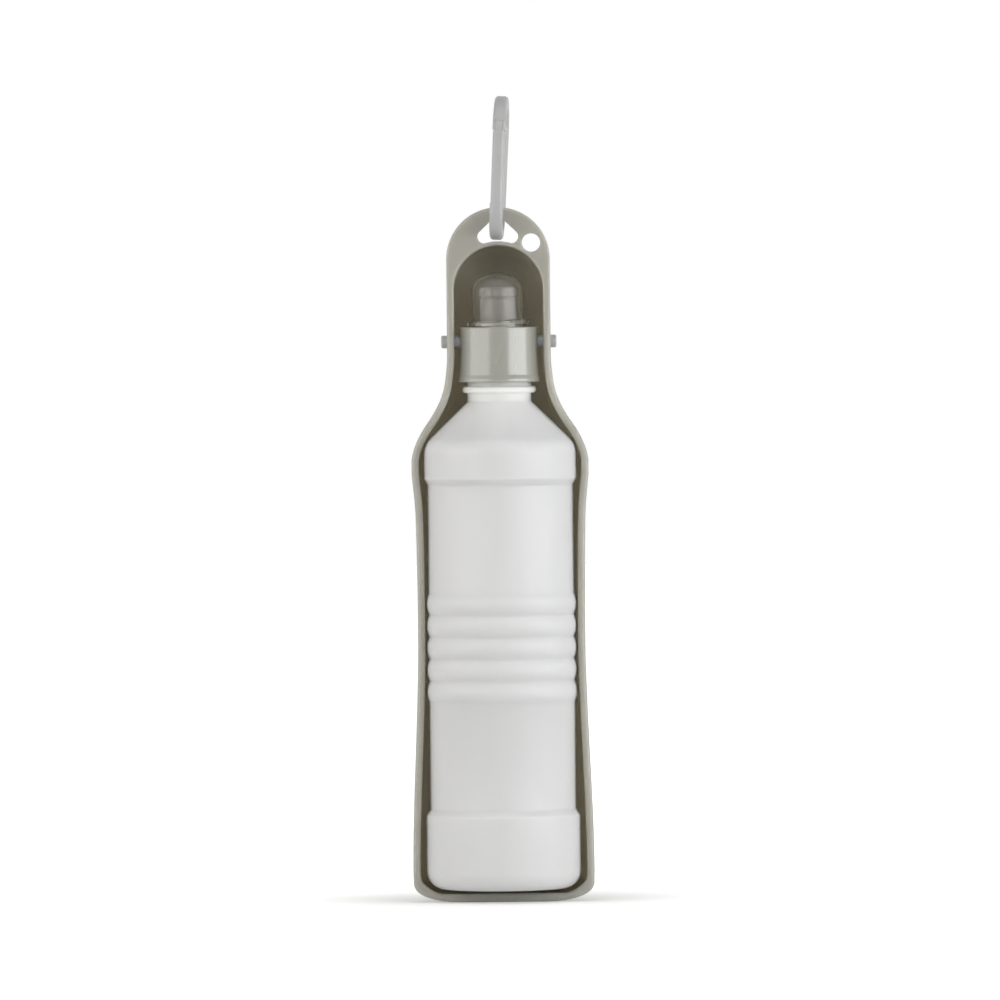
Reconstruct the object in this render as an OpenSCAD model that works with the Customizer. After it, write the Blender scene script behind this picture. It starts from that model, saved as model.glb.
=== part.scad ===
// Travel water bottle for a dog. A squeeze bottle hangs upright in a folding drinking trough:
// two pins on the screw cap turn in the trough's side walls, so the trough swings out under the spout.
// Millimetres. Z is up, the open front of the trough faces -Y, and the bottle's axis is the Z axis.
// The origin lies on the plane that the trough's foot stands on.

/* [Bottle] */
// Radius of the bottle's plain wall
body_r = 28.4; // [26:0.1:31]
// How far the band round the base stands out from the plain wall
low_band_out = 1.7; // [0.8:0.1:2.2]
// Height of the band round the base
low_band_h = 28.7; // [22:0.1:40]
// Height of the slope from a band to the plain wall
band_step = 2.4; // [1:0.1:4]
// Rounding under the base
base_round = 7; // [4:0.5:8]
// How deep the middle of the base is pushed up
push_up = 2.2; // [0:0.1:3]
// Width of the ring that the base stands on
base_ring_w = 3; // [2:0.5:6]
// How far the grip ribs stand out
rib_out = 1.1; // [0.5:0.05:1.3]
// Distance from one grip rib to the next
rib_pitch = 8.55; // [7:0.05:9.5]
// Number of grip ribs
rib_count = 5; // [3:1:6]
// Height of the lowest rib's crest above the base
rib_start = 77.1; // [60:0.1:85]
// How far the shoulder band stands out from the plain wall
top_band_out = 1.45; // [0.8:0.05:2]
// Height of the shoulder band's lower edge above the base
top_band_z = 157.7; // [140:0.1:162]
// Height of the shoulder band, up to where the shoulder begins to round over
top_band_h = 12.3; // [8:0.1:16]
// Rounding of the shoulder
shoulder_round = 8.5; // [5:0.1:10]
// Slope of the shoulder cone from level, in degrees
cone_slope = 43; // [38:0.5:48]
// Radius of the neck
neck_r = 12.35; // [11.5:0.05:13]
// Length of plain neck between the shoulder cone and the carrying ring
neck_gap = 3.5; // [2:0.1:6]
// Radius of the carrying ring round the neck
ring_r = 14.3; // [13.6:0.05:14.8]
// Thickness of the carrying ring
ring_t = 2.6; // [1.6:0.1:3]
// Rounding of the carrying ring's edges
ring_round = 0.8; // [0.3:0.05:0.8]
// Thickness of the blown wall
bottle_wall = 1; // [0.7:0.05:1.4]
// Thickness of the neck's wall
neck_wall = 1.45; // [1.1:0.05:1.8]

/* [Screw cap] */
// Radius of the cap
cap_r = 15.35; // [15:0.05:16.2]
// Height of the cap
cap_h = 21.5; // [19:0.1:24]
// Thickness of the cap's side wall
cap_wall = 1.4; // [1:0.05:1.6]
// Thickness of the cap's top
cap_top_t = 1.8; // [1.4:0.1:2.4]
// Bevel on the cap's edges
cap_bevel = 0.5; // [0.2:0.1:0.8]
// How far the lip round the cap's lower edge stands out
cap_lip_out = 0.75; // [0.3:0.05:0.9]
// Height of that lip
cap_lip_h = 1.3; // [1:0.1:2.5]
// Height over which the lip runs out into the cap's side
cap_lip_fade = 1.7; // [0.8:0.1:3]
// Gap between the carrying ring and the cap
collar_gap = 1.5; // [0.8:0.1:2.5]
// Rise of the screw thread in one turn
thread_pitch = 3.2; // [2.8:0.1:3.6]
// Height of the thread's ridge
thread_h = 1.2; // [0.9:0.05:1.3]
// Width of the thread's ridge where it meets the wall
thread_w = 1.5; // [1.2:0.05:1.7]
// Width of the thread's ridge at its crest
thread_crest = 0.7; // [0.5:0.05:1]
// Gap between each ridge's crest and the wall that it runs along
thread_gap = 0.3; // [0.2:0.05:0.4]
// Angle that each thread winds through
thread_wind = 450; // [360:30:540]
// Thickness of the sealing washer in the cap
seal_t = 1.2; // [0.8:0.1:1.6]
// Width of the sealing washer's ring
seal_w = 3.6; // [2.6:0.1:4]
// Gap round the washer and over the bottle's mouth
seal_gap = 0.1; // [0.05:0.05:0.3]

/* [Pivot] */
// Height of the pivot above the cap's lower edge
pivot_up = 15.8; // [12:0.1:17]
// Radius of the pivot pins on the cap
pin_r = 2.5; // [2:0.05:3]
// Radial gap between a pivot pin and its hole
pin_gap = 0.1; // [0.05:0.01:0.1]
// How far a pivot pin shows beyond the trough
pin_show = 2.6; // [1:0.1:4]
// Bevel at the pins' ends
pin_bevel = 0.4; // [0.2:0.1:0.8]

/* [Spout] */
// Radius of the tube that the spout slides on
tube_r = 5.6; // [5:0.05:5.8]
// Height of that tube above the cap
tube_h = 11.6; // [9:0.1:12.4]
// Thickness of that tube's wall
tube_wall = 1.3; // [1:0.05:1.6]
// Radius of the stopper on the tube that closes the spout
stopper_r = 1.6; // [1.2:0.05:2]
// How far the stopper reaches into the spout's hole
stopper_in = 1.8; // [1:0.1:2]
// Thickness of the three webs that carry the stopper
web_t = 1.2; // [0.8:0.1:1.6]
// Height of those webs
web_h = 3; // [2:0.1:4]
// Radius of the spout's collar
spout_collar_r = 7.4; // [7:0.05:7.6]
// Height of the spout's collar
spout_collar_h = 3.4; // [2.6:0.1:4]
// Radius of the spout below its collar
spout_r = 6.8; // [6.5:0.05:6.9]
// Height of the closed spout's top above the cap
spout_top = 15.4; // [14:0.1:15.6]
// Height of the closed spout's lower end above the cap
spout_low = 2.4; // [1.8:0.1:4]
// Thickness of the spout's top round its hole
spout_top_t = 2.4; // [2.2:0.1:2.8]
// Width of the bevel round the spout's top
spout_bevel_w = 1.3; // [0.8:0.1:1.6]
// Height of that bevel
spout_bevel_h = 1.5; // [1:0.1:2]
// Bevel under the spout's collar and inside its top
spout_chamfer = 0.4; // [0.2:0.1:0.6]
// Radial gap of the sliding spout
spout_gap = 0.1; // [0.05:0.01:0.1]

/* [Dust cover] */
// Radius of the cover's dome
cover_r = 9.95; // [9.6:0.05:10.2]
// Height of the cover
cover_h = 20.9; // [20:0.1:22]
// Height of the domed part of the cover
dome_h = 6.8; // [6:0.1:8]
// Thickness of the cover's wall
cover_wall = 1; // [0.7:0.05:1.1]
// Radius of the cover's flange
flange_r = 12.4; // [11.6:0.05:13.4]
// Thickness of the cover's flange
flange_t = 1.9; // [1.4:0.1:2.2]
// Bevel on the edges of the cover's flange
cover_bevel = 0.4; // [0.2:0.1:0.6]
// How far the cover leans on its seat, in degrees, with one side of its flange not pressed home
cover_lean = 2.4; // [0:0.1:2.8]
// Radial gap between the cover and its seat
seat_gap = 0.1; // [0.1:0.01:0.2]
// Height of the seat ring on the cap
seat_h = 1.5; // [1.2:0.1:2]
// Thickness of the seat ring
seat_t = 1.1; // [0.8:0.05:1.2]

/* [Trough] */
// Thickness of the trough's walls
wall = 1.5; // [1.2:0.05:1.8]
// Thickness of the end wall that the trough stands on
foot_t = 2.4; // [2:0.1:3]
// Gap between the standing wall and the bottle
base_gap = 2.6; // [2.3:0.1:5]
// Gap beside the bottle's base
base_side_gap = 2.4; // [1.5:0.1:4]
// Gap beside the grip ribs
waist_gap = 0.3; // [0.3:0.05:1.5]
// How much the trough's waist widens towards either end
waist_flare = 0.5; // [0.3:0.1:1]
// Distance below the shoulder band where the trough starts to widen
flare_below = 10; // [8:1:14]
// Gap beside the shoulder band
shoulder_gap = 1.85; // [1.5:0.05:3]
// How far below the bottle's shoulder the trough starts to narrow
narrow_below = 5; // [3:0.5:7]
// Gap beside the cap
cap_gap = 1.95; // [1.2:0.05:3]
// Gap behind the bottle's base
back_gap = 0.9; // [0.6:0.1:3]
// Free height over the dust cover, inside the trough's rounded end
end_gap = 10.8; // [8:0.1:14]
// How far the rim lies in front of the bottle's axis
rim_front = 7; // [5:0.5:9]
// Width of the rim round the opening
rim_w = 2.9; // [2.2:0.1:3.4]
// Thickness of the rim
rim_t = 2.2; // [1.6:0.1:2.8]
// Inside rounding at the corners of the standing end
corner_in = 9; // [8:0.5:10]
// Rounding of the rim at the corners of the standing end
corner_out = 8.2; // [5:0.1:9]
// Inside rounding between the floor and the standing end
floor_round = 7; // [4:0.5:9]
// Inside rounding between the floor and the trough's rounded end
end_round = 12; // [8:0.5:15]
// Half the width of the flat that the trough stands on
foot_flat = 14; // [11:0.5:18]
// Radius of the rise at either side of that flat
foot_rise_r = 85; // [50:5:120]
// Height of the lip along the front of the standing wall, from the ground
lip_h = 3.2; // [2.8:0.1:3.4]
// Radius of the boss round each pivot hole
boss_r = 5; // [4:0.1:6]
// Height of the boss round each pivot hole
boss_h = 1.1; // [0.6:0.1:1.2]

/* [Tab] */
// How far the tab's arc is centred above the arc of the trough's end
tab_rise = 12; // [10:0.5:14]
// Height of the strip between the clip's slot and the tab's edge
strip_h = 3.4; // [2.6:0.1:4]
// Width of the clip's slot
slot_w = 15.9; // [14:0.1:17]
// Rounding of the slot's lower corners
slot_corner_r = 2.6; // [2:0.1:3]
// Rounding of the slot's upper corner
slot_top_r = 1.6; // [1.2:0.1:2]
// Width of the web left between the slot and the trough's end wall
slot_web = 0.15; // [0.1:0.05:0.5]
// Width of the web left between the lanyard hole and the trough's end wall
hole_web = 0.1; // [0.1:0.05:0.5]
// Radius of the round lanyard hole
hole_r = 3.55; // [3:0.05:3.7]
// Direction of the lanyard hole from the end arc's centre, in degrees from upright
hole_lean = 35.2; // [34:0.2:38]

/* [Clip] */
// Thickness of the clip
clip_t = 5.2; // [4.4:0.1:5.6]
// Width of the clip's bar
clip_bar = 4.5; // [4:0.1:4.8]
// Distance between the centres of the clip's two rounded ends
clip_len = 31.5; // [28:0.5:36]
// Outer radius of the clip's far end
clip_far_r = 13.5; // [12.5:0.1:15]
// Gap between the clip and the slot's lower edge
clip_seat = 0.55; // [0.4:0.05:0.8]
// How far the clip leans sideways in its slot, in degrees
clip_lean = 2.8; // [0:0.1:4]
// How far the clip is turned in its slot, in degrees
clip_turn = -3; // [-5:0.5:5]
// Thickness of the clip's gate
gate_t = 4.7; // [4:0.1:5]
// Height of the gate's lower end above the strip's middle
gate_low = 3.2; // [3:0.1:4]
// How far the gate's lip reaches down behind the clip's nose
gate_lip = 1; // [0.6:0.1:1]
// Gap round the gate
gate_gap = 0.25; // [0.2:0.05:0.4]
// Angle that the gate opens through
gate_open = 22; // [15:1:25]
// Height of the gate's pin above the centre of the clip's far end
gate_pin_up = 2.5; // [1:0.5:4]
// Radius of the gate's pin
gate_pin_r = 0.8; // [0.7:0.05:1]
// Radial gap of the gate on its pin
gate_pin_gap = 0.08; // [0.05:0.01:0.1]
// How far the pin's ends lie below the clip's faces
gate_pin_in = 0.1; // [0.05:0.05:0.3]
// Radius of the gate's knuckle
knuckle_r = 2.35; // [2.3:0.05:2.6]
// Width of the gate's knuckle between the clip's cheeks
knuckle_w = 2.6; // [2.4:0.1:2.8]
// Thickness of the tongue that joins the knuckle to the gate
tongue_t = 3.7; // [3.4:0.1:4]
// Diameter of the gate spring's wire
wire_d = 0.4; // [0.3:0.05:0.45]
// Mean radius of the gate spring's coil
coil_r = 1.3; // [1.25:0.05:1.35]
// Number of turns in the gate spring
coil_turns = 3; // [2:1:3]
// Gap between the spring's turns
coil_gap = 0.05; // [0.03:0.01:0.08]
// Length of the gate spring's legs
spring_leg = 6; // [5:0.5:7]

/* [Hidden] */
$fn = 72;

shell_colour = [0.71, 0.70, 0.65];
bottle_colour = [0.88, 0.88, 0.87];
spout_colour = [0.55, 0.54, 0.52];
cover_colour = [0.80, 0.80, 0.78];
seal_colour = [0.90, 0.90, 0.88];
clip_colour = [0.68, 0.68, 0.68];
steel_colour = [0.60, 0.60, 0.62];

// A cut or a buried end goes this far past the face that it must pass
over = 1;
// Depth that a rib, pin or ridge is sunk into the wall that it grows from
root = 0.4;

// Heights up the bottle, from the ground
bottle_z = foot_t + base_gap;
shoulder_z = top_band_z + top_band_h;
low_band_r = body_r + low_band_out;
top_band_r = body_r + top_band_out;
rib_r = body_r + rib_out;
cone_start = [top_band_r - shoulder_round + shoulder_round * sin(cone_slope),
              shoulder_z + shoulder_round * cos(cone_slope)];
neck_z = bottle_z + cone_start[1] + (cone_start[0] - neck_r) * tan(cone_slope);
ring_z = neck_z + neck_gap;
cap_z = ring_z + ring_t + collar_gap;
cap_top = cap_z + cap_h;
seal_z = cap_top - cap_top_t - seal_t;
mouth_z = seal_z - seal_gap;
finish_h = mouth_z - bottle_z;
pivot_z = cap_z + pivot_up;
cap_bore_r = cap_r - cap_wall;

// The trough's inside: half widths, depth and heights
base_half = low_band_r + base_side_gap;
waist_half = rib_r + waist_gap;
shoulder_half = top_band_r + shoulder_gap;
pocket_r = cap_r + cap_gap;
floor_y = low_band_r + back_gap;
cover_top = cap_top + cover_h;
pocket_z = cover_top + end_gap - pocket_r;
end_z = pocket_z + pocket_r;
rim_back = rim_t - rim_front;
pin_tip = pocket_r + wall + boss_h + pin_show;

// Spout and its tube
tube_bore = tube_r - tube_wall;
spout_bore = tube_r + spout_gap;
spout_hole = stopper_r + spout_gap;
cover_bore = cover_r - cover_wall;
seat_r = cover_bore - seat_gap;

// Tab, slot and the clip's pivot line
tab_r = pocket_r + rim_w;
tab_z = pocket_z + tab_rise;
tab_top = tab_z + tab_r;
slot_low_r = pocket_r + wall + slot_web;
hole_dist = pocket_r + wall + hole_web + hole_r;
hole_x = hole_dist * sin(hole_lean);
hole_z = pocket_z + hole_dist * cos(hole_lean);
hang_z = tab_top - strip_h / 2;
hang_y = rim_t / 2 - rim_front;
clip_r = hang_z - pocket_z - slot_low_r - clip_seat;
gate_pin_z = clip_len + gate_pin_up;
coil_x = (wire_d + coil_gap) * coil_turns / 2;
gate_pin_y = clip_bar / 2 - sqrt(pow(clip_far_r, 2) - pow(gate_pin_up, 2));

// Points of a circle's arc, from angle a0 to a1
function arc(c, r, a0, a1, n) =
    [for (i = [0:n]) let (a = a0 + (a1 - a0) * i / n) [c[0] + r * cos(a), c[1] + r * sin(a)]];

// A list of points with its mirror image, as one loop
function mirrored(half) =
    concat(half, [for (i = [len(half) - 1:-1:0]) if (abs(half[i][0]) > 0.001) [-half[i][0], half[i][1]]]);

// Smooth curve through a list of [place, value] pairs
function slope_at(t, i) =
    i == 0 || i == len(t) - 1 ? 0 : (t[i + 1][1] - t[i - 1][1]) / (t[i + 1][0] - t[i - 1][0]);
function span_of(t, x, i = 0) =
    i >= len(t) - 2 || x < t[i + 1][0] ? i : span_of(t, x, i + 1);
function hermite(a, b, ma, mb, h, u) =
    a * (2 * pow(u, 3) - 3 * u * u + 1) + ma * h * (pow(u, 3) - 2 * u * u + u)
    + b * (3 * u * u - 2 * pow(u, 3)) + mb * h * (pow(u, 3) - u * u);
function through(t, x) =
    x <= t[0][0] ? t[0][1] : x >= t[len(t) - 1][0] ? t[len(t) - 1][1] :
    let (i = span_of(t, x), h = t[i + 1][0] - t[i][0])
    hermite(t[i][1], t[i + 1][1], slope_at(t, i), slope_at(t, i + 1), h, (x - t[i][0]) / h);

// Where the trough narrows from its shoulder to its neck: height above the shoulder and share left
narrowing = [[6, 0.93], [12, 0.735], [18, 0.46], [24, 0.235], [30, 0.097], [38, 0.02]];
shoulder_level = bottle_z + shoulder_z - narrow_below;
rib_low = bottle_z + rib_start - rib_pitch / 2;
rib_high = rib_low + rib_pitch * rib_count;
widths = concat(
    [[foot_t + corner_in, base_half],
     [rib_low, waist_half + waist_flare],
     [rib_low + 2 * rib_pitch, waist_half],
     [rib_high, waist_half],
     [bottle_z + top_band_z - flare_below, waist_half + waist_flare],
     [shoulder_level, shoulder_half]],
    [for (p = narrowing) [shoulder_level + p[0], pocket_r + (shoulder_half - pocket_r) * p[1]]],
    [[pivot_z - boss_r, pocket_r]]);

// Half width of the trough's inside, grown by a wall, at a height between its two ends
function side_at(z) = through(widths, z);
function low_corner(z, grow) =
    let (up = foot_t + corner_in - z, r = corner_in + grow)
    up <= 0 ? 0 : r - sqrt(max(0, r * r - up * up));
function half_at(z, grow) =
    z > pocket_z ? sqrt(max(0, pow(pocket_r + grow, 2) - pow(z - pocket_z, 2)))
    : side_at(z) + grow - low_corner(z, grow);

// Depth of the trough's floor at a height, with the roundings into its two ends
function rounding(left, r) = left >= r ? 0 : r - sqrt(max(0, r * r - pow(r - left, 2)));
function depth_at(z, grow) =
    floor_y + grow - rounding(z - foot_t + grow, floor_round + grow)
    - rounding(end_z + grow - z, end_round + grow);

// One level section of the trough: straight sides and a half-round back
sides_n = 20;
function section(z, grow, front) =
    let (w = half_at(z, grow), deep = depth_at(z, grow), turn = max(deep - w, front + over))
    concat([[w, front, z]],
           [for (i = [0:sides_n]) let (a = 180 * i / sides_n)
               [w * cos(a), turn + (deep - turn) * sin(a), z]],
           [[-w, front, z]]);

// Spacing of the sections along the trough's plain length and along its curved neck
plain_step = 9;
neck_step = 3.2;

// Heights of the sections, close together where the ends curve
function levels(grow) =
    let (low = foot_t - grow, r = corner_in + grow, top_r = pocket_r + grow)
    concat([for (a = [0, 14, 28, 42, 56, 70, 84]) low + r * (1 - cos(a))],
           [for (z = [low + r + plain_step / 2:plain_step:shoulder_level]) z],
           [for (z = [shoulder_level + neck_step / 2:neck_step:pivot_z]) z],
           [pivot_z + boss_r, pocket_z],
           [for (a = [10:10:70]) pocket_z + top_r * sin(a)],
           [for (a = [76, 82, 86]) pocket_z + top_r * sin(a)]);

// A closed solid through a stack of sections that all have as many points
module loft(rings) {
    n = len(rings[0]);
    last = len(rings) - 1;
    points = [for (ring = rings) for (p = ring) p];
    sides = [for (k = [0:last - 1]) for (i = [0:n - 1]) let (j = (i + 1) % n, a = k * n, b = a + n)
        each [[a + i, b + j, a + j], [a + i, b + i, b + j]]];
    low = [for (i = [0:n - 1]) i];
    high = [for (i = [n - 1:-1:0]) last * n + i];
    polyhedron(points = points, faces = concat(sides, [low, high]));
}

// The rim's outline seen from the front
rim_levels = concat([for (z = [corner_out + foot_t + plain_step / 2:plain_step:shoulder_level]) z],
                    [for (z = [shoulder_level + neck_step / 2:neck_step:pivot_z]) z]);
function rim_point(z) =
    let (e = 0.5, lean = atan((side_at(z + e) - side_at(z - e)) / (2 * e)))
    [side_at(z) + rim_w * cos(lean), z - rim_w * sin(lean)];
rim_half = concat([[0, 0]],
                  arc([base_half + rim_w - corner_out, corner_out], corner_out, -90, 0, 8),
                  [for (z = rim_levels) rim_point(z)],
                  arc([0, tab_z], tab_r, 0, 90, 18));

module rim_plate() {
    translate([0, rim_back, 0])
    rotate([90, 0, 0])
    linear_extrude(rim_t)
    polygon(mirrored(rim_half));
}

// Slab that brings the standing wall's underside down to the ground, as far out as that wall is flat
module foot_slab() {
    half = base_half - corner_in;
    translate([-half, rim_back - root, 0])
    cube([2 * half, floor_y - floor_round - rim_back + root, foot_t - wall / 2]);
}

// What is cut away below either side of the foot's flat
module foot_rise(side) {
    reach = base_half + rim_w + over;
    rise = [for (i = [0:10]) let (x = foot_flat + (reach - foot_flat) * i / 10)
        [side * x, pow(x - foot_flat, 2) / (2 * foot_rise_r)]];
    translate([0, floor_y + wall + over, 0])
    rotate([90, 0, 0])
    linear_extrude(floor_y + wall + rim_front + 2 * over)
    polygon(concat([[side * reach, -over], [side * foot_flat, -over]], rise));
}

module clip_slot() {
    low_x = slot_w / 2 - slot_corner_r;
    low_z = sqrt(pow(slot_low_r, 2) - low_x * low_x) + slot_corner_r;
    top_z = tab_top - strip_h - slot_top_r - pocket_z;
    translate([0, rim_back + over, pocket_z])
    rotate([90, 0, 0])
    linear_extrude(rim_t + 2 * over)
    difference() {
        hull() {
            translate([low_x, low_z]) circle(slot_corner_r);
            translate([-low_x, low_z]) circle(slot_corner_r);
            translate([0, top_z]) circle(slot_top_r);
        }
        circle(slot_low_r);
    }
}

module tray() {
    color(shell_colour) {
        difference() {
            union() {
                loft([for (z = levels(wall)) section(z, wall, -rim_front + rim_t / 2)]);
                rim_plate();
                foot_slab();
                for (side = [-1, 1])
                    translate([side * (pocket_r + wall / 2), 0, pivot_z])
                    rotate([0, side * 90, 0])
                    cylinder(r = boss_r, h = wall / 2 + boss_h);
            }
            loft([for (z = levels(0)) section(z, 0, -rim_front - over)]);
            for (side = [-1, 1]) {
                foot_rise(side);
                translate([side * (pocket_r - over), 0, pivot_z])
                rotate([0, side * 90, 0])
                cylinder(r = pin_r + pin_gap, h = wall + boss_h + 2 * over);
            }
            clip_slot();
            translate([hole_x, rim_back + over, hole_z])
            rotate([90, 0, 0])
            cylinder(r = hole_r, h = rim_t + 2 * over);
        }
        lip();
    }
}

// Low lip along the front of the standing wall
module lip() {
    up = foot_t + corner_in - lip_h;
    half = base_half - corner_in + sqrt(pow(corner_in, 2) - up * up) + root;
    translate([-half, -rim_front + root / 2, foot_t - root])
    cube([2 * half, rim_t - root, lip_h - foot_t + root]);
}

// Profile of the bottle's body, drawn in by a wall
rib_steps = 8;
function rib_profile(inset) =
    [for (i = [0:rib_steps * rib_count]) let (off = 2 * (i % rib_steps) / rib_steps - 1)
        [body_r - inset + rib_out * (1 - off * off), rib_start + rib_pitch * (i / rib_steps - 0.5)]];
function body_profile(inset, top_r) =
    let (ring_in = low_band_r - base_round - base_ring_w,
         bow = shoulder_round - inset,
         cone = [top_band_r - shoulder_round + bow * sin(cone_slope), shoulder_z + bow * cos(cone_slope)])
    concat([[0, push_up + inset], [ring_in - push_up, push_up + inset], [ring_in, inset]],
           arc([low_band_r - base_round, base_round], base_round - inset, -90, 0, 8),
           [[low_band_r - inset, low_band_h], [body_r - inset, low_band_h + band_step]],
           rib_profile(inset),
           [[body_r - inset, top_band_z], [top_band_r - inset, top_band_z + band_step]],
           arc([top_band_r - shoulder_round, shoulder_z], bow, 0, 90 - cone_slope, 6),
           [[top_r, cone[1] + (cone[0] - top_r) * tan(cone_slope)]]);

// One screw ridge that winds up round the Z axis, on the outside of a wall or on the inside of one
thread_steps = 24;
module ridge(foot_r, crest_r, z) {
    sunk = foot_r < crest_r ? foot_r - root : foot_r + root;
    n = thread_wind / 360 * thread_steps;
    rings = [for (i = [0:n]) let (a = 360 * i / thread_steps, up = z + thread_pitch * a / 360)
        [for (p = [[sunk, -thread_w], [crest_r, -thread_crest], [crest_r, thread_crest], [sunk, thread_w]])
            [p[0] * cos(a), p[0] * sin(a), up + p[1] / 2]]];
    if (foot_r > crest_r) loft(rings);
    else loft([for (ring = rings) [for (k = [3:-1:0]) ring[k]]]);
}
thread_rise = thread_pitch * thread_wind / 360;
thread_z = mouth_z - 2 * thread_w - thread_rise;

module bottle() {
    color(bottle_colour)
    difference() {
        union() {
            translate([0, 0, bottle_z])
            rotate_extrude()
            polygon(concat(body_profile(0, neck_r), [[neck_r, finish_h], [0, finish_h]]));
            translate([0, 0, ring_z])
            rotate_extrude()
            polygon(concat([[neck_r - root, 0]],
                           arc([ring_r - ring_round, ring_round], ring_round, -90, 0, 3),
                           arc([ring_r - ring_round, ring_t - ring_round], ring_round, 0, 90, 3),
                           [[neck_r - root, ring_t]]));
            ridge(neck_r, neck_r + thread_h, thread_z);
        }
        translate([0, 0, bottle_z])
        rotate_extrude()
        polygon(concat(body_profile(bottle_wall, neck_r - neck_wall),
                       [[neck_r - neck_wall, finish_h + over], [0, finish_h + over]]));
    }
}

// The cap, its tube and its seat ring as one turned profile, from its lower edge
inner_top = cap_h - cap_top_t;
lip_r = cap_r + cap_lip_out;
cap_profile = [
    [cap_bore_r, cap_bevel], [cap_bore_r + cap_bevel / 2, 0], [lip_r - cap_bevel, 0], [lip_r, cap_bevel],
    [lip_r, cap_lip_h], [cap_r + cap_lip_out / 4, cap_lip_h + cap_lip_fade / 2],
    [cap_r, cap_lip_h + cap_lip_fade], [cap_r, cap_h - cap_bevel], [cap_r - cap_bevel, cap_h],
    [seat_r, cap_h], [seat_r, cap_h + seat_h - cap_bevel / 2], [seat_r - cap_bevel / 2, cap_h + seat_h],
    [seat_r - seat_t, cap_h + seat_h], [seat_r - seat_t, cap_h],
    [tube_r, cap_h], [tube_r, cap_h + tube_h - cap_bevel], [tube_r - cap_bevel, cap_h + tube_h],
    [tube_bore, cap_h + tube_h], [tube_bore, inner_top], [cap_bore_r, inner_top]];
stopper_top = spout_top - spout_top_t + stopper_in;

module cap() {
    color(shell_colour)
    translate([0, 0, cap_z]) {
        rotate_extrude()
        polygon(cap_profile);
        // Stopper in the middle of the tube, on three webs
        translate([0, 0, cap_h + tube_h - web_h - root])
        cylinder(r = stopper_r, h = stopper_top - tube_h + web_h + root);
        for (a = [30, 150, 270])
            rotate([0, 0, a])
            translate([0, -web_t / 2, cap_h + tube_h - web_h - root])
            cube([tube_bore + root, web_t, web_h]);
        // Pivot pins
        for (side = [-1, 1])
            translate([0, 0, pivot_up])
            rotate([0, side * 90, 0])
            rotate_extrude()
            polygon([[0, cap_bore_r + cap_wall / 2], [pin_r, cap_bore_r + cap_wall / 2],
                     [pin_r, pin_tip - pin_bevel], [pin_r - pin_bevel, pin_tip], [0, pin_tip]]);
        // The cap's ridge runs half a pitch above the bottle's, in the gap between its turns
        ridge(cap_bore_r, neck_r + thread_gap, thread_z - cap_z - thread_pitch / 2);
    }
}

module cap_seal() {
    outer = cap_bore_r - thread_h / 2;
    color(seal_colour)
    translate([0, 0, seal_z])
    difference() {
        cylinder(r = outer, h = seal_t);
        translate([0, 0, -over]) cylinder(r = outer - seal_w, h = seal_t + 2 * over);
    }
}

module spout() {
    inside_top = spout_top - spout_top_t;
    collar_z = spout_top - spout_collar_h;
    color(spout_colour)
    translate([0, 0, cap_top])
    rotate_extrude()
    polygon([[spout_bore, spout_low], [spout_r, spout_low],
             [spout_r, collar_z - spout_chamfer], [spout_collar_r, collar_z],
             [spout_collar_r, spout_top - spout_bevel_h], [spout_collar_r - spout_bevel_w, spout_top],
             [spout_hole, spout_top], [spout_hole, inside_top], [spout_bore, inside_top - spout_chamfer]]);
}

// The cover stands on one edge of its flange, so its lean turns it about that edge
module dust_cover() {
    inner_h = dome_h - cover_wall;
    color(cover_colour)
    translate([-flange_r, 0, cap_top])
    rotate([0, -cover_lean, 0])
    translate([flange_r, 0, 0])
    rotate_extrude()
    polygon(concat(
        [[cover_bore, 0], [flange_r - cover_bevel, 0], [flange_r, cover_bevel],
         [flange_r, flange_t - cover_bevel], [flange_r - cover_bevel, flange_t], [cover_r, flange_t]],
        [for (a = [0:7.5:90]) [cover_r * cos(a), cover_h - dome_h + dome_h * sin(a)]],
        [for (a = [90:-7.5:0]) [cover_bore * cos(a), cover_h - dome_h + inner_h * sin(a)]]));
}

// The clip lies in its own frame: its pivot line is X, Z runs up its length and the gate is at -Y
module clip_frame() {
    translate([0, hang_y, hang_z])
    rotate([0, clip_lean, clip_turn])
    children();
}

// Outline round the clip's two ends, drawn in by a bar's width
function clip_outline(inset) =
    let (near = clip_r - inset, far = clip_far_r - inset, lean = asin((far - near) / clip_len))
    concat(arc([0, 0], near, 180 + lean, 360 - lean, 24), arc([0, clip_len], far, -lean, 180 + lean, 24));

// Stands a drawing of the YZ plane up, centred on the clip's middle plane
module across(t) {
    translate([-t / 2, 0, 0])
    rotate([90, 0, 90])
    linear_extrude(t)
    children();
}

module clip_ring() {
    difference() {
        polygon(clip_outline(0));
        polygon(clip_outline(clip_bar));
    }
}

module clip_body() {
    color(clip_colour)
    clip_frame()
    difference() {
        across(clip_t) clip_ring();
        // Gap for the gate's bar
        across(clip_t + 2 * over)
        translate([-clip_far_r - over, gate_low])
        square([clip_far_r, gate_pin_z - knuckle_r - gate_gap - gate_low]);
        // Step behind the nose for the gate's lip
        across(clip_t + 2 * over)
        translate([-clip_r + clip_bar / 2, gate_low - gate_lip - gate_gap])
        square([clip_bar, gate_lip + over + gate_gap]);
        // Slot between the cheeks for the knuckle
        across(knuckle_w + 2 * gate_gap)
        translate([-clip_far_r - over, gate_pin_z - knuckle_r - gate_gap - over])
        square([clip_far_r, over + 2 * (knuckle_r + gate_gap)]);
        // Hole for the pin
        translate([-clip_t / 2 - over, gate_pin_y, gate_pin_z])
        rotate([0, 90, 0])
        cylinder(r = gate_pin_r, h = clip_t + 2 * over);
        // Groove for the spring's upper leg
        translate([coil_x - wire_d, gate_pin_y + coil_r - wire_d, gate_pin_z])
        cube([2 * wire_d, 2 * wire_d, spring_leg + wire_d]);
    }
}

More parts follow.
